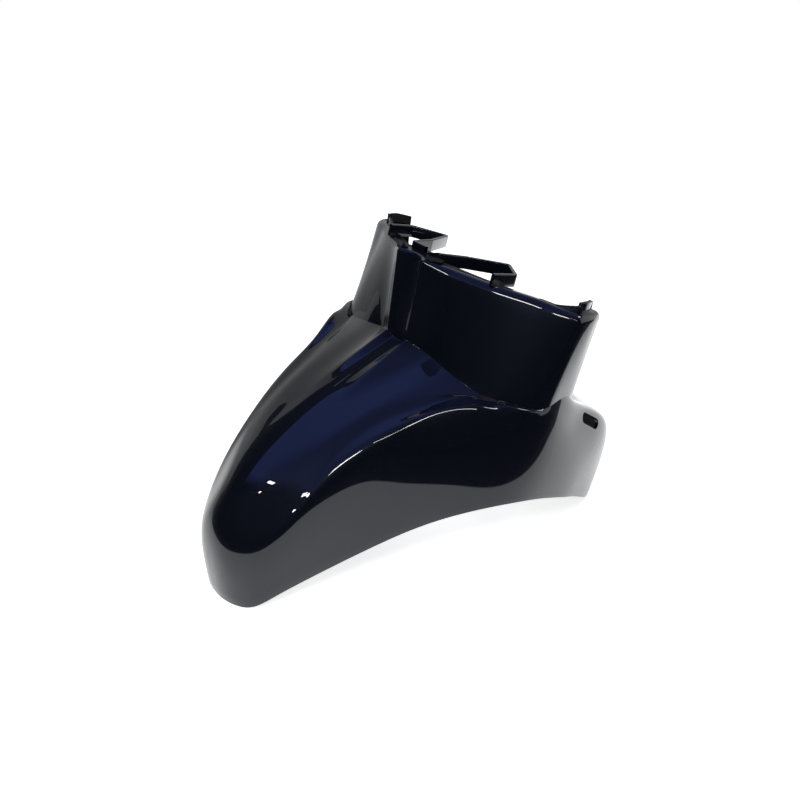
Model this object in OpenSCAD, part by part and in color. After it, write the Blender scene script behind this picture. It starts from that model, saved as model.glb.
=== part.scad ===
// Front mudguard of a small scooter, moulded in one piece: a rounded hood over the wheel,
// a collar of two fork pods with a channel between them, and a short closed tail.
// The nose points along -X, Z is up, and the nose and tail feet stand on z = 0.

/* [Overall size] */
// Length from nose to tail
guard_length = 357; // [300:1:420]
// Width across the two fork pods
guard_width = 254; // [220:1:300]
// Height of the channel rim above the feet
guard_height = 239; // [210:1:270]
// Thickness of the moulded wall
wall = 3; // [2.4:0.1:3.6]

/* [Collar rim] */
// Radius that rounds the front rim of the pods
rim_round = 6; // [4:0.5:7]
// Flat of the rim that turns in behind the rounding
rim_flat = 3; // [1:0.5:5]
// Height of the upright strips that frame the rim openings
strip_height = 10; // [7:0.5:12]
// Thickness of the upright strips
strip_wall = 3; // [2.4:0.1:3.6]
// Height of the lip that stands on the outer half of each pod's rim
lip_height = 6; // [4:0.5:8]

/* [Tail] */
// Length of the kidney slot in each side of the tail
slot_length = 31; // [24:0.5:34]
// Width of the kidney slot
slot_width = 9; // [6:0.5:10]
// Spacing of the two bolts that hold the guard to the fork bridge
bolt_spacing = 60; // [44:1:76]
// Diameter of the bridge bolt holes
bolt_hole = 6.6; // [5.5:0.1:8.5]
// Diameter of the round pads at the bolt holes
bolt_pad = 16; // [13:1:17]

/* [Hidden] */
paint_colour = [0.03, 0.035, 0.08];

// The guide lines are drawn on a grid of this size and scaled to the sizes above.
grid_size = [396.4, 282, 265];
grid = [guard_length / grid_size[0], guard_width / grid_size[1], guard_height / grid_size[2]];

// Each line runs down the left half, from the middle of the nose to the middle of the tail,
// with the distance from the middle plane as its second number.
foot_line = [[-208, 0, 0], [-207.5, 9, 0], [-204, 22, 0], [-194, 38, 2], [-176, 50, 13],
    [-147, 60, 25], [-97, 77, 43], [-52, 100, 63], [-14, 125, 77], [18, 138, 78], [50, 139, 68],
    [85, 134, 50], [110, 126, 34], [140, 114, 12], [160, 98, 0], [172, 55, 0], [176, 0, 0]];
// top of the upright skirt
belt_line = [[-206.5, 0, 58], [-206, 9, 58], [-202.5, 22, 58.5], [-191.5, 39, 60], [-174, 53, 70],
    [-144, 63, 90], [-91, 79, 108], [-48, 100, 118], [-10, 123, 118], [22, 139, 105], [56, 141, 95],
    [90, 136, 82], [117, 129, 73], [152, 117, 64], [173, 100, 52], [184, 56, 47], [188, 0, 46]];
// shoulder along each side
crest_line = [[-191.5, 0, 87], [-190.5, 8, 86.5], [-186.5, 20, 85.5], [-177, 37, 84],
    [-157, 53, 96], [-125, 61.5, 124], [-82, 74, 146.7], [-38, 87, 162.8], [0, 112, 166],
    [32, 138, 135], [62, 140, 124], [92, 134, 114], [119, 127, 108], [151, 117, 98], [169, 98, 84],
    [178, 55, 77], [181, 0, 75]];
brow_line = [[-153, 0, 125.5], [-152, 7.5, 125.5], [-149, 19, 125], [-139, 34, 127],
    [-120, 46, 135.5], [-92, 57, 147.5], [-56, 70, 159], [-20, 88, 166], [10, 115, 166.5],
    [39, 137.5, 150], [66, 138, 140], [92, 131, 130], [114, 124, 124], [139, 113, 114],
    [154, 92, 104], [164, 50, 101], [167, 0, 101]];
crown_line = [[-85, 0, 161], [-85, 7, 161], [-84, 17, 160], [-76, 32, 160.5], [-61, 47, 163.5],
    [-40, 61, 166.5], [-18, 75, 168], [3, 92, 167], [22, 121, 166.5], [44, 137, 158],
    [69, 135, 152], [90, 129, 144], [106, 121, 137], [121, 108, 127], [131, 86, 123],
    [138, 48, 125], [140, 0, 126]];
// foot of the collar
seam_line = [[-5, 0, 187], [-5, 7, 187], [-7, 13, 192.5], [2, 31, 184], [7.5, 49.5, 174],
    [13.5, 70, 168], [21, 88, 165], [29, 104, 163], [38, 122, 163.5], [48, 137, 165],
    [71, 132, 162], [86, 127, 155], [97, 118, 144], [100, 103, 137], [101, 84, 137], [102, 46, 138],
    [102, 0, 139]];
rim_line = [[14, 0, 264], [13, 9, 264], [8, 17.2, 265], [20, 38, 259.5], [31, 58, 256],
    [41, 76, 253], [51, 92, 250], [60, 107, 247], [67, 124, 243.5], [76, 139, 240],
    [92, 139, 236], [108, 132, 231], [98, 117.5, 148], [101, 103, 141], [102, 84, 141],
    [103, 46, 142], [103, 0, 143]];

// the rib at the rear edge of the pod's outer wall, and the number of ribs on one side
last_pod_rib = 11;
side_ribs = len(foot_line) - 1;
ribs = 2 * side_ribs;

// steps between neighbouring ribs, between guide lines, and up the collar wall
rib_steps = 3;
line_steps = 3;
wall_steps = 3;
roll_steps = 3;
columns = ribs * rib_steps;

// the nose reaches -208.4 and the tail 188 on the grid, so this shift centres the part
grid_shift = 10.2;
function scaled(p) = [(p[0] + grid_shift) * grid[0], p[1] * grid[1], p[2] * grid[2]];
function mirrored(p) = [p[0], -p[1], p[2]];

// closed loop of ribs: left side first, then back along the right side
function loop(line) = [for (i = [0:ribs - 1])
    i <= side_ribs ? mirrored(scaled(line[i])) : scaled(line[ribs - i])];

// smooth curve through four points, t from b to c
function curve(a, b, c, d, t) =
    0.5 * (2 * b + (c - a) * t + (2 * a - 5 * b + 4 * c - d) * t * t
    + (3 * b - a - 3 * c + d) * t * t * t);

function closed_curve(p, steps) = [for (i = [0:len(p) - 1]) for (k = [0:steps - 1])
    curve(p[(i + len(p) - 1) % len(p)], p[i], p[(i + 1) % len(p)], p[(i + 2) % len(p)],
        k / steps)];

function open_curve(p, steps) = let (n = len(p)) concat([for (i = [0:n - 2])
    for (k = [0:steps - 1])
        curve(i == 0 ? 2 * p[0] - p[1] : p[i - 1], p[i], p[i + 1],
            i == n - 2 ? 2 * p[n - 1] - p[n - 2] : p[i + 2], k / steps)], [p[n - 1]]);

// the rim breaks at the rear edge of each outer wall, so it is drawn in parts
rim_loop = loop(rim_line);
pod_rim = open_curve([for (i = [-last_pod_rib:last_pod_rib]) rim_loop[(i + ribs) % ribs]],
    rib_steps);
tail_rim = open_curve([for (i = [last_pod_rib + 1:ribs - last_pod_rib - 1]) rim_loop[i]],
    rib_steps);
last_pod_column = last_pod_rib * rib_steps;
first_tail_column = last_pod_column + rib_steps;

function rim_point(c) =
    c <= last_pod_column ? pod_rim[c + last_pod_column]
    : c >= columns - last_pod_column ? pod_rim[c - columns + last_pod_column]
    : c < first_tail_column
        ? between(pod_rim[2 * last_pod_column], tail_rim[0], (c - last_pod_column) / rib_steps)
    : c > columns - first_tail_column
        ? between(pod_rim[0], tail_rim[len(tail_rim) - 1],
            (columns - last_pod_column - c) / rib_steps)
    : tail_rim[c - first_tail_column];

function between(a, b, t) = a + (b - a) * t;
function unit(v) = v / norm(v);
function near_column(c) = min(c, columns - c);

lines = [for (line = [foot_line, belt_line, crest_line, brow_line, crown_line, seam_line])
    [for (p = closed_curve(loop(line), rib_steps)) [p[0], p[1], max(0, p[2])]]];

// rim profile at a rib: rounding radius, flat behind it and lip on the flat
channel_round = 2.4;
channel_flat = 12;
edge_round = 1.2;
edge_flat = 0.4;
low_lip = 0.5;
corner_rib = 2;
lip_rib = 7.5;
corner_end_rib = 9;
function ramp(c, from, to) = max(0, min(1, (near_column(c) / rib_steps - from) / (to - from)));
function roll_radius(c) = near_column(c) < corner_rib * rib_steps ? channel_round
    : between(between(channel_round, rim_round, ramp(c, corner_rib, corner_rib + 1)),
        edge_round, ramp(c, last_pod_rib, last_pod_rib + 0.7));
function roll_flat(c) = near_column(c) < corner_rib * rib_steps ? channel_flat
    : between(rim_flat, edge_flat, ramp(c, last_pod_rib, last_pod_rib + 0.7));
function lip(c) = between(low_lip, lip_height, ramp(c, lip_rib, corner_end_rib)
    * (1 - ramp(c, last_pod_rib, last_pod_rib + 0.7)));

// outward direction of the collar wall at a column
function wall_out(c) = let (
        tail = near_column(c) >= first_tail_column,
        side = c <= columns / 2,
        joint = near_column(c) > last_pod_column && !tail)
    joint ? let (t = (near_column(c) - last_pod_column) / rib_steps)
        unit(between(wall_out(side ? last_pod_column : columns - last_pod_column),
            wall_out(side ? first_tail_column : columns - first_tail_column), t))
    : let (
        low = c == columns - last_pod_column || c == first_tail_column ? c : c - 1,
        high = c == last_pod_column || c == columns - first_tail_column ? c : c + 1,
        along = rim_point((high + columns) % columns) - rim_point((low + columns) % columns),
        up = rim_point(c) - lines[5][c])
    unit(cross(along, up));

function wall_rows(c) = let (
        foot = lines[5][c],
        top = rim_point(c),
        up = unit(top - foot),
        inward = -wall_out(c),
        r = roll_radius(c),
        start = top - up * r)
    concat([for (k = [1:wall_steps]) between(foot, start, k / wall_steps)],
        [for (k = [1:roll_steps]) let (a = 90 * k / roll_steps)
            start + up * r * sin(a) + inward * r * (1 - cos(a))],
        [start + up * r + inward * (r + roll_flat(c)),
            start + up * (r + lip(c)) + inward * (r + roll_flat(c))]);

outer = [for (c = [0:columns - 1])
    concat(open_curve([for (line = lines) line[c]], line_steps), wall_rows(c))];
rows = len(outer[0]);
seam_row = (len(lines) - 1) * line_steps;

function skin_out(c, r) = let (
        near = near_column(c),
        in_wall = r > seam_row,
        joint = in_wall && near > last_pod_column && near < first_tail_column)
    joint ? let (side = c <= columns / 2, t = (near - last_pod_column) / rib_steps)
        unit(between(skin_out(side ? last_pod_column : columns - last_pod_column, r),
            skin_out(side ? first_tail_column : columns - first_tail_column, r), t))
    : let (
        low = in_wall && (c == columns - last_pod_column || c == first_tail_column) ? c : c - 1,
        high = in_wall && (c == last_pod_column || c == columns - first_tail_column) ? c : c + 1,
        along = outer[(high + columns) % columns][r] - outer[(low + columns) % columns][r],
        up = outer[c][min(r + 1, rows - 1)] - outer[c][max(r - 1, 0)])
    unit(cross(along, up));

// the inner skin lies one wall behind the outer one, and its foot stays as high as the outer foot
inner = [for (c = [0:columns - 1]) [for (r = [0:rows - 1]) let (
        p = outer[c][r] - wall * skin_out(c, r))
    [p[0], p[1], r == 0 ? outer[c][0][2] : p[2]]]];

module shell() {
    count = columns * rows;
    points = concat([for (c = outer) each c], [for (c = inner) each c]);
    function o(c, r) = (c % columns) * rows + r;
    function i(c, r) = count + (c % columns) * rows + r;
    faces = concat(
        [for (c = [0:columns - 1]) for (r = [0:rows - 2])
            each [[o(c, r), o(c + 1, r + 1), o(c + 1, r)], [o(c, r), o(c, r + 1), o(c + 1, r + 1)]]],
        [for (c = [0:columns - 1]) for (r = [0:rows - 2])
            each [[i(c, r), i(c + 1, r), i(c + 1, r + 1)], [i(c, r), i(c + 1, r + 1), i(c, r + 1)]]],
        [for (c = [0:columns - 1])
            each [[o(c, 0), o(c + 1, 0), i(c + 1, 0)], [o(c, 0), i(c + 1, 0), i(c, 0)]]],
        [for (c = [0:columns - 1])
            each [[o(c, rows - 1), i(c + 1, rows - 1), o(c + 1, rows - 1)],
                [o(c, rows - 1), i(c, rows - 1), i(c + 1, rows - 1)]]]);
    polyhedron(points, faces, convexity = 12);
}

// plan of the strips on the rim, in grid units: across the channel, round the opening
// over each fork pod and back to the pod's front wall
strip_line = [[27, 0], [27, 18], [52, 24], [86, 42], [67, 70], [41, 70]];
strip_slope = 0.289;
strip_top = 274.3;

// outline of a strip of even thickness that follows a line of points
function side_of(p, i) = let (
        a = i > 0 ? unit(p[i] - p[i - 1]) : unit(p[1] - p[0]),
        b = i < len(p) - 1 ? unit(p[i + 1] - p[i]) : a,
        n = unit([-a[1] - b[1], a[0] + b[0]]))
    n / max(0.5, n * [-a[1], a[0]]);
function ribbon(p, t) = concat(
    [for (i = [0:len(p) - 1]) p[i] + side_of(p, i) * t / 2],
    [for (i = [len(p) - 1:-1:0]) p[i] - side_of(p, i) * t / 2]);

module strips() {
    slope = atan(strip_slope * grid[2] / grid[0]);
    half = [for (p = strip_line) scaled([p[0] / cos(slope), p[1], 0])];
    left = [for (p = half) [p[0], -p[1]]];
    right = [for (i = [len(half) - 1:-1:1]) [half[i][0], half[i][1]]];
    translate([0, 0, strip_top * grid[2] + grid_shift * grid[0] * tan(slope)])
        rotate([0, slope, 0])
            translate([0, 0, -strip_height])
                linear_extrude(strip_height)
                    polygon(ribbon(concat(right, left), strip_wall));
}

// middle of the kidney slot on the left side of the tail, and the way it is cut
slot_middle = [120.5, -124.8, 115];
slot_turn = [-23, 47, 22];
slot_depth = 20;
slot_sides = 12;
// how far the middle of the slot bends away from a straight line
slot_bend = 1.2;

module kidney_slot() {
    translate(scaled(slot_middle))
        rotate([0, 0, slot_turn[2]])
            rotate([slot_turn[0], 0, 0])
                rotate([90, slot_turn[1], 0])
                    linear_extrude(slot_depth, center = true) {
                        reach = (slot_length - slot_width) / 2;
                        for (side = [-1, 1])
                            translate([side * reach, side * slot_bend])
                                circle(d = slot_width, $fn = slot_sides);
                        polygon([[-reach, -slot_bend - slot_width / 2],
                            [reach, slot_bend - slot_width / 2],
                            [reach, slot_bend + slot_width / 2],
                            [-reach, -slot_bend + slot_width / 2]]);
                    }
}

// pads and holes for the two bolts to the fork bridge, on the deck behind the collar
bolt_middle = [119, 0];
pad_top = 138;
pad_height = 13;
module at_bolts() {
    middle = scaled([bolt_middle[0], bolt_middle[1], pad_top]);
    for (y = [-1, 1])
        translate([middle[0], y * bolt_spacing / 2, middle[2]])
            children();
}

module mudguard() {
    color(paint_colour) difference() {
        union() {
            shell();
            strips();
            at_bolts() translate([0, 0, -pad_height])
                cylinder(d = bolt_pad, h = pad_height, $fn = 24);
        }
        at_bolts() translate([0, 0, -pad_height - 1])
            cylinder(d = bolt_hole, h = pad_height + 2, $fn = 24);
        kidney_slot();
        mirror([0, 1, 0]) kidney_slot();
    }
}

mudguard();
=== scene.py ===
import math

import bmesh
import bpy
import numpy as np
from mathutils import Matrix, Vector


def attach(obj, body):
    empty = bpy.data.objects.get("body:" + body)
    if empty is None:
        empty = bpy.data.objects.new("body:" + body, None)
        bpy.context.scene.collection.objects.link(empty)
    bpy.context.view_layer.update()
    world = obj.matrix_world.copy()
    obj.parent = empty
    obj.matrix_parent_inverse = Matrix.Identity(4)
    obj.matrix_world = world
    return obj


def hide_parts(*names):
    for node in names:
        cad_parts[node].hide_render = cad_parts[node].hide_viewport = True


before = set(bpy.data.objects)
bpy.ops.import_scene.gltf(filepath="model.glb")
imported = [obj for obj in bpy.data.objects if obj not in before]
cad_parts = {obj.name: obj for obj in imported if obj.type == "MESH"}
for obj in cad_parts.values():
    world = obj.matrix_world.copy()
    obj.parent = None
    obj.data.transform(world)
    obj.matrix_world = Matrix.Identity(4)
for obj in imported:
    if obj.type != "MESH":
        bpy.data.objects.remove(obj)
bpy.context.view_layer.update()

# Sizes of the guard in millimetres, as in the part's source
WALL = 3.0
GRID = np.array([357 / 396.4, 254 / 282, 239 / 265])
GRID_SHIFT = 10.2
RIM_ROUND, RIM_FLAT = 6.0, 3.0
CHANNEL_ROUND, CHANNEL_FLAT = 2.4, 12.0
EDGE_ROUND, EDGE_FLAT = 1.2, 0.4
LOW_LIP, LIP_HEIGHT = 0.5, 6.0
STRIP_HEIGHT, STRIP_WALL = 10.0, 3.0
BOLT_SPACING, BOLT_HOLE, BOLT_PAD, PAD_HEIGHT = 60.0, 6.6, 16.0, 13.0
SLOT_LENGTH, SLOT_WIDTH, SLOT_BEND, SLOT_DEPTH = 31.0, 9.0, 1.2, 20.0

# Edges as they show in the picture: rounding at the collar's foot, and the angle that stays sharp
COLLAR_ROUND, SHARP_ANGLE = 2.6, math.radians(36)

# Guide lines from the middle of the nose to the middle of the tail on one side. SEAM, the foot
# of the collar, is straighter on the pods than the solid's
FOOT = [[-208, 0, 0], [-207.5, 9, 0], [-204, 22, 0], [-194, 38, 2], [-176, 50, 13], [-147, 60, 25],
        [-97, 77, 43], [-52, 100, 63], [-14, 125, 77], [18, 138, 78], [50, 139, 68], [85, 134, 50],
        [110, 126, 34], [140, 114, 12], [160, 98, 0], [172, 55, 0], [176, 0, 0]]
BELT = [[-206.5, 0, 58], [-206, 9, 58], [-202.5, 22, 58.5], [-191.5, 39, 60], [-174, 53, 70],
        [-144, 63, 90], [-91, 79, 108], [-48, 100, 118], [-10, 123, 118], [22, 139, 105],
        [56, 141, 95], [90, 136, 82], [117, 129, 73], [152, 117, 64], [173, 100, 52], [184, 56, 47],
        [188, 0, 46]]
CREST = [[-191.5, 0, 87], [-190.5, 8, 86.5], [-186.5, 20, 85.5], [-177, 37, 84], [-157, 53, 96],
         [-125, 61.5, 124], [-82, 74, 146.7], [-38, 87, 162.8], [0, 112, 166], [32, 138, 135],
         [62, 140, 124], [92, 134, 114], [119, 127, 108], [151, 117, 98], [169, 98, 84],
         [178, 55, 77], [181, 0, 75]]
BROW = [[-153, 0, 125.5], [-152, 7.5, 125.5], [-149, 19, 125], [-139, 34, 127], [-120, 46, 135.5],
        [-92, 57, 147.5], [-56, 70, 159], [-20, 88, 166], [10, 115, 166.5], [39, 137.5, 150],
        [66, 138, 140], [92, 131, 130], [114, 124, 124], [139, 113, 114], [154, 92, 104],
        [164, 50, 101], [167, 0, 101]]
CROWN = [[-85, 0, 161], [-85, 7, 161], [-84, 17, 160], [-76, 32, 160.5], [-61, 47, 163.5],
         [-40, 61, 166.5], [-18, 75, 168], [3, 92, 167], [22, 121, 166.5], [44, 137, 158],
         [69, 135, 152], [90, 129, 144], [106, 121, 137], [121, 108, 127], [131, 86, 123],
         [138, 48, 125], [140, 0, 126]]
SEAM = [[-5, 0, 187], [-5, 7, 187], [-7, 13, 192.5], [2, 31, 184], [3, 54, 179],
        [6, 76, 173.5], [11, 96, 168], [19, 112, 163.5], [31, 124.5, 161.5], [48, 137, 162],
        [71, 132, 162], [86, 127, 155], [97, 118, 144], [100, 103, 137], [101, 84, 137],
        [102, 46, 138], [102, 0, 139]]
RIM = [[14, 0, 264], [13, 9, 264], [8, 17.2, 265], [20, 38, 259.5], [31, 58, 256],
       [41, 76, 253], [51, 92, 250], [60, 107, 247], [67, 124, 243.5], [76, 139, 240],
       [92, 139, 236], [108, 132, 231], [98, 117.5, 148], [101, 103, 141], [102, 84, 141],
       [103, 46, 142], [103, 0, 143]]
STRIP = [[27, 0], [27, 18], [52, 24], [86, 42], [67, 70], [41, 70]]
STRIP_SLOPE, STRIP_TOP = 0.289, 274.3
SLOT_MIDDLE, SLOT_TURN = [120.5, -124.8, 115], [-23, 47, 22]
BOLT_X, PAD_TOP = 119, 138

SIDE = len(FOOT) - 1
RIBS = 2 * SIDE
STEPS = 8
LINE_STEPS = 6
WALL_STEPS = 9
ROLL_STEPS = 7
COLUMNS = RIBS * STEPS
LAST_POD = 11
CORNERS = (1, 2)
POD_CORNER = 9


def scaled(points):
    points = np.atleast_2d(np.array(points, float))
    return (points + [GRID_SHIFT, 0, 0]) * GRID


def loop(line):
    """Left side from nose to tail, then back along the right side."""
    side = scaled(line)
    left = side * [1, -1, 1]
    return np.concatenate([left, side[-2:0:-1]])


def spline(points, steps, closed=False):
    """Smooth curve with even curvature through the points, sampled steps times a span."""
    p = np.asarray(points, float)
    n = len(p)
    if n == 2:
        t = np.linspace(0, 1, steps + 1)[:, None]
        return p[0] + (p[1] - p[0]) * t
    q = np.concatenate([p, p[:1]]) if closed else p
    h = np.sqrt(np.linalg.norm(np.diff(q, axis=0), axis=1))
    a = np.zeros((n, n))
    b = np.zeros_like(p)
    for i in range(n):
        if not closed and i in (0, n - 1):
            a[i, i] = 1
            continue
        before, after = h[(i - 1) % len(h)], h[i % len(h)]
        a[i, (i - 1) % n] += before
        a[i, i] += 2 * (before + after)
        a[i, (i + 1) % n] += after
        b[i] = 6 * ((q[(i + 1) % n if closed else i + 1] - q[i]) / after
                    - (q[i] - q[(i - 1) % n if closed else i - 1]) / before)
    m = np.linalg.solve(a, b)
    out = []
    for i in range(n if closed else n - 1):
        j = (i + 1) % n
        for k in range(steps):
            s = k / steps
            u = 1 - s
            out.append(p[i] * u + p[j] * s
                       + h[i] ** 2 / 6 * ((u ** 3 - u) * m[i] + (s ** 3 - s) * m[j]))
    if not closed:
        out.append(p[-1])
    return np.array(out)


def broken_spline(points, steps, breaks):
    """Open curve that turns sharply at the points listed in breaks."""
    ends = [0] + sorted(breaks) + [len(points) - 1]
    parts = [spline(points[a:b + 1], steps) for a, b in zip(ends, ends[1:])]
    return np.concatenate([part[:-1] for part in parts[:-1]] + [parts[-1]])


def near(c):
    return min(c, COLUMNS - c)


def ramp(c, start, end):
    return max(0.0, min(1.0, (near(c) / STEPS - start) / (end - start)))


def mix(a, b, t):
    return a + (b - a) * t


def unit(v):
    return v / np.linalg.norm(v)


def roll_radius(c):
    if near(c) < CORNERS[1] * STEPS:
        return CHANNEL_ROUND
    full = mix(CHANNEL_ROUND, RIM_ROUND, ramp(c, CORNERS[1], CORNERS[1] + 1))
    return mix(full, EDGE_ROUND, ramp(c, LAST_POD, LAST_POD + 0.7))


def roll_flat(c):
    if near(c) < CORNERS[1] * STEPS:
        return CHANNEL_FLAT
    return mix(RIM_FLAT, EDGE_FLAT, ramp(c, LAST_POD, LAST_POD + 0.7))


def lip(c):
    full = ramp(c, 7.5, 9) * (1 - ramp(c, LAST_POD, LAST_POD + 0.7))
    return mix(LOW_LIP, LIP_HEIGHT, full)


def softened(curve, rib, reach=2, times=5):
    """Rounds the corner that a curve turns at a rib, on both halves of the guard."""
    for middle in (rib * STEPS, COLUMNS - rib * STEPS):
        for _ in range(times):
            old = curve.copy()
            for c in range(middle - reach, middle + reach + 1):
                curve[c] = (old[c - 1] + 2 * old[c] + old[c + 1]) / 4
    return curve


def guide_curves():
    curves = [spline(loop(line), STEPS, closed=True) for line in (FOOT, BELT, CREST, BROW, CROWN)]
    seam = loop(SEAM)
    start = SIDE
    turned = np.concatenate([np.roll(seam, -start, axis=0), seam[start:start + 1]])
    breaks = [RIBS - start + k for k in (-POD_CORNER, -CORNERS[1], -CORNERS[0],
                                         CORNERS[0], CORNERS[1], POD_CORNER)]
    around = np.roll(broken_spline(turned, STEPS, breaks)[:-1], start * STEPS, axis=0)
    curves.append(softened(around, POD_CORNER))
    for curve in curves:
        curve[:, 2] = np.maximum(curve[:, 2], 0)
    return curves


def rim_curve():
    ribs = loop(RIM)
    pod = broken_spline(np.array([ribs[i % RIBS] for i in range(-LAST_POD, LAST_POD + 1)]), STEPS,
                        [LAST_POD + k for k in (-POD_CORNER, -CORNERS[1], -CORNERS[0],
                                                CORNERS[0], CORNERS[1], POD_CORNER)])
    tail = spline(ribs[LAST_POD + 1:RIBS - LAST_POD], STEPS)
    rim = np.zeros((COLUMNS, 3))
    for c in range(-LAST_POD * STEPS, LAST_POD * STEPS + 1):
        rim[c % COLUMNS] = pod[c + LAST_POD * STEPS]
    first = (LAST_POD + 1) * STEPS
    rim[first:first + len(tail)] = tail
    for k in range(1, STEPS):
        rim[LAST_POD * STEPS + k] = mix(pod[-1], tail[0], k / STEPS)
        rim[COLUMNS - LAST_POD * STEPS - k] = mix(pod[0], tail[-1], k / STEPS)
    return softened(rim, POD_CORNER)


def evened(low, times=60):
    """Takes small waves out of the hood's top, and leaves its foot and the collar's foot."""
    rows = low.shape[1]
    keep = np.zeros((COLUMNS, rows, 1))
    for c in range(COLUMNS):
        for r in range(rows):
            along = max(0.0, min(1.0, (9.5 - near(c) / STEPS) / 1.5))
            across = max(0.0, min(1.0, (r - 1.5 * LINE_STEPS) / (1.5 * LINE_STEPS), (rows - 1 - r) / 3))
            keep[c, r, 0] = along * across
    for _ in range(times):
        for sign in (0.5, -0.52):
            flat = (np.roll(low, 1, axis=0) + np.roll(low, -1, axis=0)) / 4
            flat[:, 1:-1] += (low[:, 2:] + low[:, :-2]) / 4
            flat[:, 0], flat[:, -1] = low[:, 0], low[:, -1]
            low = low + sign * keep * (flat - low)
    return low


def outer_face():
    """Rows of points up every column, from the foot to the top of the rim's lip."""
    curves = guide_curves()
    rim = rim_curve()
    low = np.array([spline(np.array([curve[c] for curve in curves]), LINE_STEPS)
                    for c in range(COLUMNS)])
    low = evened(low)
    last, first = LAST_POD * STEPS, (LAST_POD + 1) * STEPS
    out = np.zeros((COLUMNS, 3))
    for c in range(COLUMNS):
        if last < near(c) < first:
            continue
        before = c if c in (COLUMNS - last, first) else c - 1
        after = c if c in (last, COLUMNS - first) else c + 1
        along = rim[after % COLUMNS] - rim[before % COLUMNS]
        out[c] = unit(np.cross(along, rim[c] - curves[5][c]))
    for c in range(COLUMNS):
        if last < near(c) < first:
            t = (near(c) - last) / STEPS
            ends = (last, first) if c < COLUMNS / 2 else (COLUMNS - last, COLUMNS - first)
            out[c] = unit(mix(out[ends[0]], out[ends[1]], t))
    columns = []
    for c in range(COLUMNS):
        foot, top = curves[5][c], rim[c]
        up, inward, r = unit(top - foot), -out[c], roll_radius(c)
        start = top - up * r
        wall = [mix(foot, start, k / WALL_STEPS) for k in range(1, WALL_STEPS + 1)]
        turns = [math.radians(90 * k / ROLL_STEPS) for k in range(1, ROLL_STEPS + 1)]
        roll = [start + up * r * math.sin(a) + inward * r * (1 - math.cos(a)) for a in turns]
        ledge = start + up * r + inward * (r + roll_flat(c))
        columns.append(np.concatenate([low[c], wall, roll, [ledge, ledge + up * lip(c)]]))
    return np.array(columns)


def face_out(outer):
    """Outward direction at every point of the outer face."""
    rows = outer.shape[1]
    last, first = LAST_POD * STEPS, (LAST_POD + 1) * STEPS
    seam = 5 * LINE_STEPS
    before = np.roll(outer, 1, axis=0)
    after = np.roll(outer, -1, axis=0)
    for c in (COLUMNS - last, first):
        before[c, seam + 1:] = outer[c, seam + 1:]
    for c in (last, COLUMNS - first):
        after[c, seam + 1:] = outer[c, seam + 1:]
    row = np.arange(rows)
    up = outer[:, np.minimum(row + 1, rows - 1)] - outer[:, np.maximum(row - 1, 0)]
    n = np.cross(after - before, up)
    n /= np.linalg.norm(n, axis=2)[..., None] + 1e-12
    for c in range(COLUMNS):
        if last < near(c) < first:
            t = (near(c) - last) / STEPS
            ends = (last, first) if c < COLUMNS / 2 else (COLUMNS - last, COLUMNS - first)
            for r in range(seam + 1, rows):
                n[c, r] = unit(mix(n[ends[0], r], n[ends[1], r], t))
    return n


def skin_object():
    outer = outer_face()
    inner = outer - WALL * face_out(outer)
    inner[:, 0, 2] = outer[:, 0, 2]
    rows = outer.shape[1]
    count = COLUMNS * rows
    points = np.concatenate([outer.reshape(-1, 3), inner.reshape(-1, 3)]) / 1000
    o = lambda c, r: (c % COLUMNS) * rows + r
    i = lambda c, r: count + o(c, r)
    faces = []
    for c in range(COLUMNS):
        for r in range(rows - 1):
            faces.append((o(c, r), o(c, r + 1), o(c + 1, r + 1), o(c + 1, r)))
            faces.append((i(c, r), i(c + 1, r), i(c + 1, r + 1), i(c, r + 1)))
        faces.append((o(c, 0), o(c + 1, 0), i(c + 1, 0), i(c, 0)))
        top = rows - 1
        faces.append((o(c, top), i(c, top), i(c + 1, top), o(c + 1, top)))
    mesh = bpy.data.meshes.new("guard_skin")
    mesh.from_pydata(points.tolist(), [], faces)
    obj = bpy.data.objects.new("guard_skin", mesh)
    bpy.context.scene.collection.objects.link(obj)
    inside = mesh.attributes.new("inside", "FLOAT", "POINT")
    inside.data.foreach_set("value", [0.0] * count + [1.0] * count)
    weights = mesh.attributes.new("bevel_weight_edge", "FLOAT", "EDGE")
    seam = 5 * LINE_STEPS
    marks = {}
    for c in range(COLUMNS):
        if near(c) < LAST_POD * STEPS:
            marks[frozenset((o(c, seam), o(c + 1, seam)))] = 1.0
        for face, r in ((o, 0), (i, 0), (o, rows - 1), (i, rows - 1), (o, rows - 2)):
            marks[frozenset((face(c, r), face(c + 1, r)))] = 0.3
    for k in CORNERS:
        for c in (k * STEPS, COLUMNS - k * STEPS):
            for r in range(seam, rows - 2):
                marks[frozenset((o(c, r), o(c, r + 1)))] = 0.45
    for edge in mesh.edges:
        weight = marks.get(frozenset(edge.vertices))
        if weight:
            weights.data[edge.index].value = weight
    return obj


def apply_modifiers(obj):
    graph = bpy.context.evaluated_depsgraph_get()
    made = bpy.data.meshes.new_from_object(obj.evaluated_get(graph), depsgraph=graph)
    obj.modifiers.clear()
    old, obj.data = obj.data, made
    bpy.data.meshes.remove(old)
    return obj


def rounded_edges(obj, width_mm, segments=3):
    bevel = obj.modifiers.new("rounded_edges", "BEVEL")
    bevel.limit_method = "WEIGHT"
    bevel.width = width_mm / 1000
    bevel.segments = segments
    bevel.use_clamp_overlap = True
    return apply_modifiers(obj)


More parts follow.
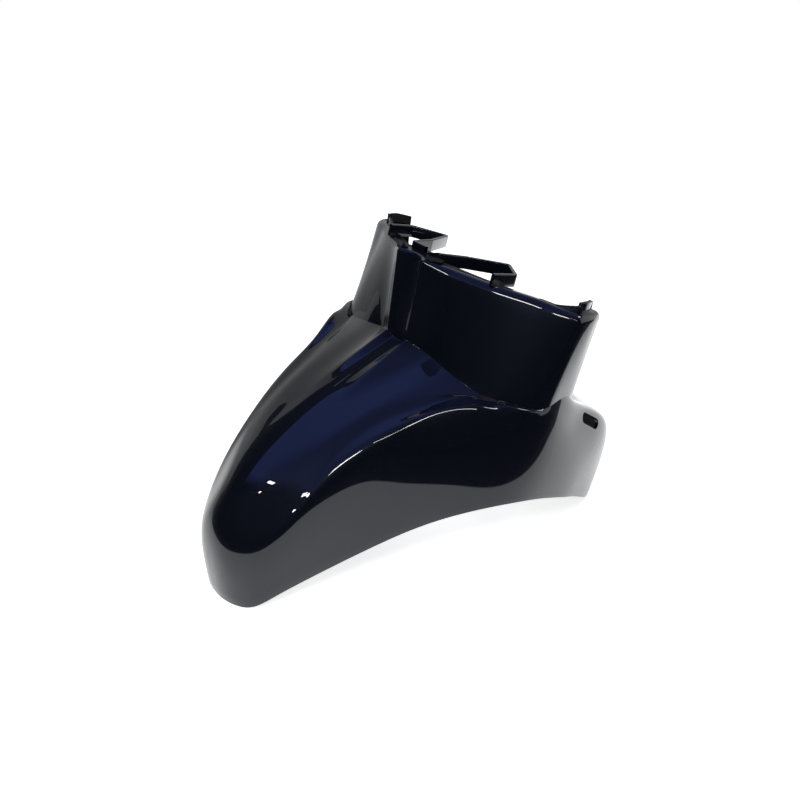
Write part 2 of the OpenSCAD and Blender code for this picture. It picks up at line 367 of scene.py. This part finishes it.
def prism(name, outline, low, high, place):
    """Solid from an outline in millimetres, pushed from low to high and then placed."""
    mesh = bmesh.new()
    bottom = [mesh.verts.new((x, y, low)) for x, y in outline]
    top = [mesh.verts.new((x, y, high)) for x, y in outline]
    mesh.faces.new(bottom[::-1])
    mesh.faces.new(top)
    for k in range(len(outline)):
        j = (k + 1) % len(outline)
        mesh.faces.new((bottom[k], bottom[j], top[j], top[k]))
    for v in mesh.verts:
        v.co = (place @ v.co) / 1000
    bmesh.ops.recalc_face_normals(mesh, faces=mesh.faces)
    data = bpy.data.meshes.new(name)
    mesh.to_mesh(data)
    mesh.free()
    obj = bpy.data.objects.new(name, data)
    bpy.context.scene.collection.objects.link(obj)
    return obj


def ring(radius, count=48):
    return [(radius * math.cos(2 * math.pi * k / count),
             radius * math.sin(2 * math.pi * k / count)) for k in range(count)]


def slot_outline():
    reach = (SLOT_LENGTH - SLOT_WIDTH) / 2
    points = []
    for side in (1, -1):
        for k in range(13):
            a = math.radians(-90 + 180 * k / 12) + (0 if side > 0 else math.pi)
            points.append((side * reach + SLOT_WIDTH / 2 * math.cos(a),
                           side * SLOT_BEND + SLOT_WIDTH / 2 * math.sin(a)))
    return points


def kidney_slot(side):
    place = (Matrix.Translation(Vector(scaled(SLOT_MIDDLE)[0]))
             @ Matrix.Rotation(math.radians(SLOT_TURN[2]), 4, "Z")
             @ Matrix.Rotation(math.radians(SLOT_TURN[0]), 4, "X")
             @ Matrix.Rotation(math.radians(SLOT_TURN[1]), 4, "Y")
             @ Matrix.Rotation(math.radians(90), 4, "X"))
    mirror = Matrix.Scale(side, 4, (0, 1, 0))
    return prism("slot_cutter", slot_outline(), -SLOT_DEPTH / 2, SLOT_DEPTH / 2, mirror @ place)


def cut_or_join(obj, tool, operation):
    cut = obj.modifiers.new("cut", "BOOLEAN")
    cut.operation = operation
    cut.solver = "EXACT"
    cut.object = tool
    apply_modifiers(obj)
    bpy.data.objects.remove(tool)


def bolt_places():
    middle = scaled([BOLT_X, 0, PAD_TOP])[0]
    return [Vector((middle[0], y * BOLT_SPACING / 2, middle[2])) for y in (-1, 1)]


class Nodes:
    """Adds nodes to a tree: one call takes the type, its settings and its sockets' values."""

    def __init__(self, tree):
        self.tree = tree
        self.tree.nodes.clear()

    def add(self, kind, settings=None, **values):
        node = self.tree.nodes.new(kind)
        for name, value in (settings or {}).items():
            setattr(node, name, value)
        for name, value in values.items():
            key = int(name[1:]) if name[1:].isdigit() and name[0] == "s" else name.replace("_", " ")
            self.set(node.inputs[key], value)
        return node

    def set(self, socket, value):
        if isinstance(value, Value):
            value = value.socket
        if isinstance(value, bpy.types.NodeSocket):
            self.tree.links.new(value, socket)
        else:
            socket.default_value = value

    def value(self, node, output=0):
        return Value(self, node.outputs[output])


class Value:
    """A number in a shader tree, with the operators that are used on it."""

    def __init__(self, nodes, socket):
        self.nodes, self.socket = nodes, socket

    def maths(self, operation, a, b):
        return self.nodes.value(self.nodes.add("ShaderNodeMath", {"operation": operation}, s0=a, s1=b))

    def __add__(self, other):
        return self.maths("ADD", self, other)

    def __radd__(self, other):
        return self.maths("ADD", other, self)

    def __sub__(self, other):
        return self.maths("SUBTRACT", self, other)

    def __rsub__(self, other):
        return self.maths("SUBTRACT", other, self)

    def __mul__(self, other):
        return self.maths("MULTIPLY", self, other)

    def __rmul__(self, other):
        return self.maths("MULTIPLY", other, self)

    def clamped(self):
        node = self.nodes.add("ShaderNodeClamp", None, Value=self)
        return self.nodes.value(node)


def blend_colour(nodes, factor, a, b):
    node = nodes.add("ShaderNodeMix", {"data_type": "RGBA"})
    nodes.set(node.inputs["Factor"], factor)
    nodes.set(node.inputs["A"], a)
    nodes.set(node.inputs["B"], b)
    return node.outputs["Result"]


NAVY = (0.005, 0.0062, 0.013, 1)
NAVY_DEEP = (0.0035, 0.0043, 0.0085, 1)
BARE_PLASTIC = (0.012, 0.012, 0.013, 1)


def gloss_navy_paint():
    """Dark navy paint with fine flakes under a clear coat, and bare satin plastic inside."""
    material = bpy.data.materials.new("gloss_navy_paint")
    material.use_nodes = True
    nodes = Nodes(material.node_tree)
    place = nodes.add("ShaderNodeTexCoord").outputs["Object"]
    inside = nodes.value(nodes.add("ShaderNodeAttribute", {"attribute_name": "inside"}), "Fac")
    flakes = nodes.add("ShaderNodeTexVoronoi", {"feature": "F1"}, Vector=place, Scale=2600.0)
    tone = nodes.add("ShaderNodeTexNoise", None, Vector=place, Scale=9.0, Detail=3.0)
    grain = nodes.add("ShaderNodeTexNoise", None, Vector=place, Scale=420.0, Detail=3.0)
    peel = nodes.add("ShaderNodeTexNoise", None, Vector=place, Scale=70.0, Detail=1.5)
    sparkle = (nodes.value(flakes, "Distance") * 0.5 + nodes.value(tone, 0) * 0.6).clamped()
    paint = blend_colour(nodes, sparkle, NAVY_DEEP, NAVY)
    colour = blend_colour(nodes, inside, paint, BARE_PLASTIC)
    height = nodes.value(peel, 0) * 0.35 * (1 - inside) + nodes.value(grain, 0) * inside
    bump = nodes.add("ShaderNodeBump", None, Height=height, Strength=0.12, Distance=0.0002)
    shader = nodes.add("ShaderNodeBsdfPrincipled", None, Base_Color=colour,
                       Metallic=0.35 * (1 - inside), Roughness=0.34 + 0.16 * inside,
                       Coat_Weight=1 - inside, Normal=bump.outputs[0])
    shader.inputs["IOR"].default_value = 1.45
    shader.inputs["Specular IOR Level"].default_value = 0.06
    shader.inputs["Coat Roughness"].default_value = 0.015
    shader.inputs["Coat IOR"].default_value = 1.5
    nodes.add("ShaderNodeOutputMaterial", None, Surface=shader.outputs[0])
    return material


def strip_tree():
    """Sweeps a rounded bar along a path that is drawn flat, then tips it onto the rim."""
    tree = bpy.data.node_groups.new("rim_strip", "GeometryNodeTree")
    face = tree.interface
    face.new_socket("Path", in_out="INPUT", socket_type="NodeSocketGeometry")
    for name, value in (("Height", 0.01), ("Thickness", 0.003), ("Edge Radius", 0.0006),
                        ("Corner Radius", 0.0015), ("Slope", 0.28), ("Top", 0.25)):
        socket = face.new_socket(name, in_out="INPUT", socket_type="NodeSocketFloat")
        socket.default_value = value
    face.new_socket("Paint", in_out="INPUT", socket_type="NodeSocketMaterial")
    face.new_socket("Strip", in_out="OUTPUT", socket_type="NodeSocketGeometry")
    nodes = Nodes(tree)
    given = nodes.add("NodeGroupInput").outputs
    path = nodes.add("GeometryNodeMeshToCurve", None, Mesh=given["Path"])
    path = nodes.add("GeometryNodeSetCurveNormal", {"mode": "Z_UP"}, Curve=path.outputs[0])
    path = nodes.add("GeometryNodeFilletCurve", {"mode": "POLY"}, Curve=path.outputs[0],
                     Radius=given["Corner Radius"], Count=5)
    bar = nodes.add("GeometryNodeCurvePrimitiveQuadrilateral", {"mode": "RECTANGLE"},
                    Width=given["Thickness"], Height=given["Height"])
    bar = nodes.add("GeometryNodeFilletCurve", {"mode": "POLY"}, Curve=bar.outputs[0],
                    Radius=given["Edge Radius"], Count=3)
    sweep = nodes.add("GeometryNodeCurveToMesh", None, Curve=path.outputs[0],
                      s1=bar.outputs[0])
    sweep.inputs["Fill Caps"].default_value = True
    half = nodes.add("ShaderNodeMath", {"operation": "MULTIPLY"}, s0=given["Height"], s1=-0.5)
    drop = nodes.add("ShaderNodeCombineXYZ", None, Z=half.outputs[0])
    lowered = nodes.add("GeometryNodeTransform", None, Geometry=sweep.outputs[0],
                        Translation=drop.outputs[0])
    lift = nodes.add("ShaderNodeCombineXYZ", None, Z=given["Top"])
    tip = nodes.add("ShaderNodeCombineXYZ", None, Y=given["Slope"])
    tipped = nodes.add("GeometryNodeTransform", None, Geometry=lowered.outputs[0],
                       Translation=lift.outputs[0], Rotation=tip.outputs[0])
    smooth = nodes.add("GeometryNodeSetShadeSmooth", None, Geometry=tipped.outputs[0])
    real = nodes.add("GeometryNodeRealizeInstances", None, Geometry=smooth.outputs[0])
    painted = nodes.add("GeometryNodeSetMaterial", None, Geometry=real.outputs[0],
                        Material=given["Paint"])
    nodes.add("NodeGroupOutput", None, s0=painted.outputs[0])
    return tree


def rim_strip(paint):
    slope = math.atan(STRIP_SLOPE * GRID[2] / GRID[0])
    half = scaled([[x / math.cos(slope), y, 0] for x, y in STRIP])
    path = np.concatenate([half[:0:-1], half * [1, -1, 1]]) / 1000
    mesh = bpy.data.meshes.new("strip_path")
    mesh.from_pydata(path.tolist(), [(k, k + 1) for k in range(len(path) - 1)], [])
    obj = bpy.data.objects.new("rim_strip", mesh)
    bpy.context.scene.collection.objects.link(obj)
    tree = strip_tree()
    sweep = obj.modifiers.new("sweep", "NODES")
    sweep.node_group = tree
    top = (STRIP_TOP * GRID[2] + GRID_SHIFT * GRID[0] * math.tan(slope)) / 1000
    values = {"Height": STRIP_HEIGHT / 1000, "Thickness": STRIP_WALL / 1000, "Edge Radius": 0.0007,
              "Corner Radius": 0.002, "Slope": slope, "Top": top, "Paint": paint}
    for item in tree.interface.items_tree:
        if item.item_type == "SOCKET" and item.in_out == "INPUT" and item.name in values:
            sweep[item.identifier] = values[item.name]
    return apply_modifiers(obj)


paint = gloss_navy_paint()
guard = rounded_edges(skin_object(), COLLAR_ROUND)
for place in bolt_places():
    shift = Matrix.Translation(place)
    cut_or_join(guard, prism("pad", ring(BOLT_PAD / 2), -PAD_HEIGHT, 0, shift), "UNION")
    cut_or_join(guard, prism("hole", ring(BOLT_HOLE / 2), -PAD_HEIGHT - 1, 1, shift), "DIFFERENCE")
for side in (1, -1):
    cut_or_join(guard, kidney_slot(side), "DIFFERENCE")
guard.data.materials.clear()
guard.data.materials.append(paint)
guard.data.polygons.foreach_set("use_smooth", [True] * len(guard.data.polygons))
guard.data.set_sharp_from_angle(angle=SHARP_ANGLE)

strip = rim_strip(paint)
strip.data.set_sharp_from_angle(angle=SHARP_ANGLE)

for piece in (guard, strip):
    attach(piece, "root")
    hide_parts("mudguard")

# Camera: angles and distance come from matching points on both sides of the guard
TURN, RISE, REACH = math.radians(52.7), math.radians(31.9), 925.0
SIDEWAYS, UPWARD = 2.1, -102.8
GRID_MM, SENSOR_MM, PICTURE_PIXELS = 0.9013, 36, 800


def photo_camera():
    back = Vector((-math.cos(TURN) * math.cos(RISE), -math.sin(TURN) * math.cos(RISE), math.sin(RISE)))
    right = Vector((math.sin(TURN), -math.cos(TURN), 0))
    up = back.cross(right)
    spot = back * REACH - right * SIDEWAYS - up * UPWARD + Vector((GRID_SHIFT, 0, 0))
    data = bpy.data.cameras.new("camera")
    data.sensor_width = SENSOR_MM
    data.lens = SENSOR_MM * REACH / PICTURE_PIXELS
    data.clip_end = 50
    cam = bpy.data.objects.new("camera", data)
    turn = Matrix((right, up, back)).transposed().to_4x4()
    cam.matrix_world = Matrix.Translation(spot * GRID_MM / 1000) @ turn
    bpy.context.scene.collection.objects.link(cam)
    bpy.context.scene.camera = cam


# Places in metres: the white table's edges, the screen round it, and the window overhead
TABLE_FRONT, TABLE_LEFT, TABLE_REACH = -0.28, -0.42, 6.0
SCREEN_REACH, WINDOW_HEIGHT = 1.3, 1.3
WINDOW_LEFT, WINDOW_RIGHT, WINDOW_FRONT, WINDOW_BACK = -2.2, 1.3, -0.9, 1.05
WINDOW_BLUE = (0.16, 0.24, 0.80, 1)
DARK_FLOOR = (0.02, 0.02, 0.025, 1)


def fully(nodes):
    return 1.0


def staging(name, points, faces, where, glow=1.0, seen=fully, lit=0.0, colour=(1, 1, 1, 1)):
    """White or coloured sheet: where says how strongly it shows in reflections, seen how
    strongly the camera sees it, and lit how pale it is under the lamps."""
    mesh = bpy.data.meshes.new(name)
    mesh.from_pydata(points, [], faces)
    obj = bpy.data.objects.new(name, mesh)
    bpy.context.scene.collection.objects.link(obj)
    material = bpy.data.materials.new(name)
    material.use_nodes = True
    nodes = Nodes(material.node_tree)
    rays = nodes.add("ShaderNodeLightPath").outputs
    mirrored = Value(nodes, rays["Is Glossy Ray"])
    direct = (Value(nodes, rays["Is Camera Ray"]) + Value(nodes, rays["Is Transmission Ray"])).clamped()
    strength = where(nodes)
    hidden = mirrored * (1 - strength)
    shine = nodes.add("ShaderNodeEmission", None, Color=colour,
                      Strength=mirrored * strength * glow + direct * seen(nodes))
    shade = blend_colour(nodes, hidden, (lit, lit, lit, 1), DARK_FLOOR)
    base = nodes.add("ShaderNodeBsdfDiffuse", None, Color=shade)
    both = nodes.add("ShaderNodeAddShader", None, s0=base.outputs[0], s1=shine.outputs[0])
    nodes.add("ShaderNodeOutputMaterial", None, Surface=both.outputs[0])
    mesh.materials.append(material)
    return obj


def step(nodes, value, low, high):
    node = nodes.add("ShaderNodeMapRange", {"interpolation_type": "SMOOTHSTEP"}, Value=value,
                     From_Min=low, From_Max=high)
    return nodes.value(node)


def place_axes(nodes):
    place = nodes.add("ShaderNodeTexCoord").outputs["Object"]
    split = nodes.add("ShaderNodeSeparateXYZ", None, Vector=place)
    return [nodes.value(split, k) for k in range(3)]


def on_table(nodes):
    """White inside the table's edges, dimmer towards the back and brighter to the right."""
    x, y, _ = place_axes(nodes)
    inside = step(nodes, x, TABLE_LEFT - 0.02, TABLE_LEFT)
    inside = inside * step(nodes, y, TABLE_FRONT - 0.015, TABLE_FRONT)
    return inside * (1 - step(nodes, y, 0.1, 0.6) * 0.72) * (1 + step(nodes, x, 0.05, 0.45) * 0.95)


def whiter_away(nodes):
    x, y, _ = place_axes(nodes)
    return 0.80 + step(nodes, x * x + y * y, 0.04, 0.9) * 0.2


def table():
    far = TABLE_REACH
    staging("table", [(-far, -far, 0), (far, -far, 0), (far, far, 0), (-far, far, 0)],
            [(0, 1, 2, 3)], on_table, glow=0.48, seen=whiter_away, lit=0.8)


def on_backdrop(nodes):
    _, y, _ = place_axes(nodes)
    return 1.2 - step(nodes, y, -0.6, 0.3) * 0.84


def backdrop():
    """White screen round the back and the right, lower towards its left end."""
    reach, points, faces = SCREEN_REACH, [], []
    turns = range(-75, 116, 5)
    for k, turn in enumerate(turns):
        x, y = reach * math.cos(math.radians(turn)), reach * math.sin(math.radians(turn))
        top = reach * float(np.interp(turn, [90, 97, 115], [1.02, 0.6, 0.02]))
        points += [(x, y, 0.001), (x, y, top)]
        if k:
            faces.append((2 * k - 2, 2 * k, 2 * k + 1, 2 * k - 1))
    staging("backdrop", points, faces, on_backdrop)


def blue_panel():
    """Long soft window overhead that tints the top of the hood."""
    def soft(nodes):
        x, y, _ = place_axes(nodes)
        side = step(nodes, y, -0.85, -0.1) * 0.5 + step(nodes, y, 0.05, 0.6) * 0.5
        side = side * (1 - step(nodes, y, 0.98, 1.02))
        return side * step(nodes, x, -2.1, -1.6) * (1 - step(nodes, x, 0.9, 1.2))
    corners = [(WINDOW_LEFT, WINDOW_FRONT), (WINDOW_RIGHT, WINDOW_FRONT),
               (WINDOW_RIGHT, WINDOW_BACK), (WINDOW_LEFT, WINDOW_BACK)]
    obj = staging("blue_panel", [(x, y, WINDOW_HEIGHT) for x, y in corners],
                  [(0, 1, 2, 3)], soft, colour=WINDOW_BLUE)
    obj.visible_camera = obj.visible_shadow = obj.visible_diffuse = False


def room():
    """White surroundings for the camera, and a dark room above the table in reflections."""
    world = bpy.data.worlds.new("room")
    bpy.context.scene.world = world
    world.use_nodes = True
    nodes = Nodes(world.node_tree)
    rays = nodes.add("ShaderNodeLightPath").outputs
    seen = (Value(nodes, rays["Is Camera Ray"]) + Value(nodes, rays["Is Transmission Ray"])).clamped()
    mirrored = Value(nodes, rays["Is Glossy Ray"])
    dark = nodes.add("ShaderNodeBackground", None, Color=(0.8, 0.9, 1.0, 1),
                     Strength=0.35 - mirrored * 0.335)
    white = nodes.add("ShaderNodeBackground", None, Color=(1, 1, 1, 1), Strength=1.0)
    both = nodes.add("ShaderNodeMixShader", None, s0=seen, s1=dark.outputs[0], s2=white.outputs[0])
    nodes.add("ShaderNodeOutputWorld", None, Surface=both.outputs[0])


def lamp(name, spot, aim, size, watts, colour=(1, 1, 1), thin=None):
    data = bpy.data.lights.new(name, "AREA")
    data.energy = watts
    data.color = colour
    data.size = size
    if thin:
        data.shape = "RECTANGLE"
        data.size_y = thin
    obj = bpy.data.objects.new(name, data)
    spot, aim = Vector(spot), Vector(aim)
    obj.location = spot
    obj.rotation_euler = (aim - spot).to_track_quat("-Z", "Y").to_euler()
    bpy.context.scene.collection.objects.link(obj)
    return obj


def tube(name, start, end, thin, radiance, aim=(0, -0.07, 0.15)):
    """Thin bright tube between two places, facing the guard."""
    start, end, aim = Vector(start), Vector(end), Vector(aim)
    middle, along = (start + end) / 2, end - start
    obj = lamp(name, middle, aim, along.length, radiance * math.pi * along.length * thin, thin=thin)
    back = (middle - aim).normalized()
    along = (along - back * along.dot(back)).normalized()
    obj.rotation_euler = Matrix((along, back.cross(along), back)).transposed().to_euler()
    return obj


photo_camera()
table()
backdrop()
blue_panel()
room()
overhead = lamp("overhead_panel", (-0.3, 0.1, 2.2), (0, 0, 0.1), 1.6, 18, (0.97, 0.98, 1.0))
overhead.visible_glossy = False
tube("rim_tube", (-0.90, -0.41, 0.88), (-0.67, -0.70, 0.95), 0.11, 32)
tube("crest_tube", (-0.56, -0.69, 1.04), (-0.37, -1.04, 0.78), 0.016, 30)
tube("nose_tube", (-1.11, -0.05, 0.78), (-1.10, 0.05, 0.80), 0.03, 40)
tube("foot_window", (0.46, -0.50, 1.20), (0.57, -0.28, 1.20), 0.22, 16)
tube("nose_dot", (-1.17, -0.01, 0.69), (-1.17, 0.01, 0.69), 0.02, 50)

bpy.context.scene.view_settings.view_transform = "Standard"
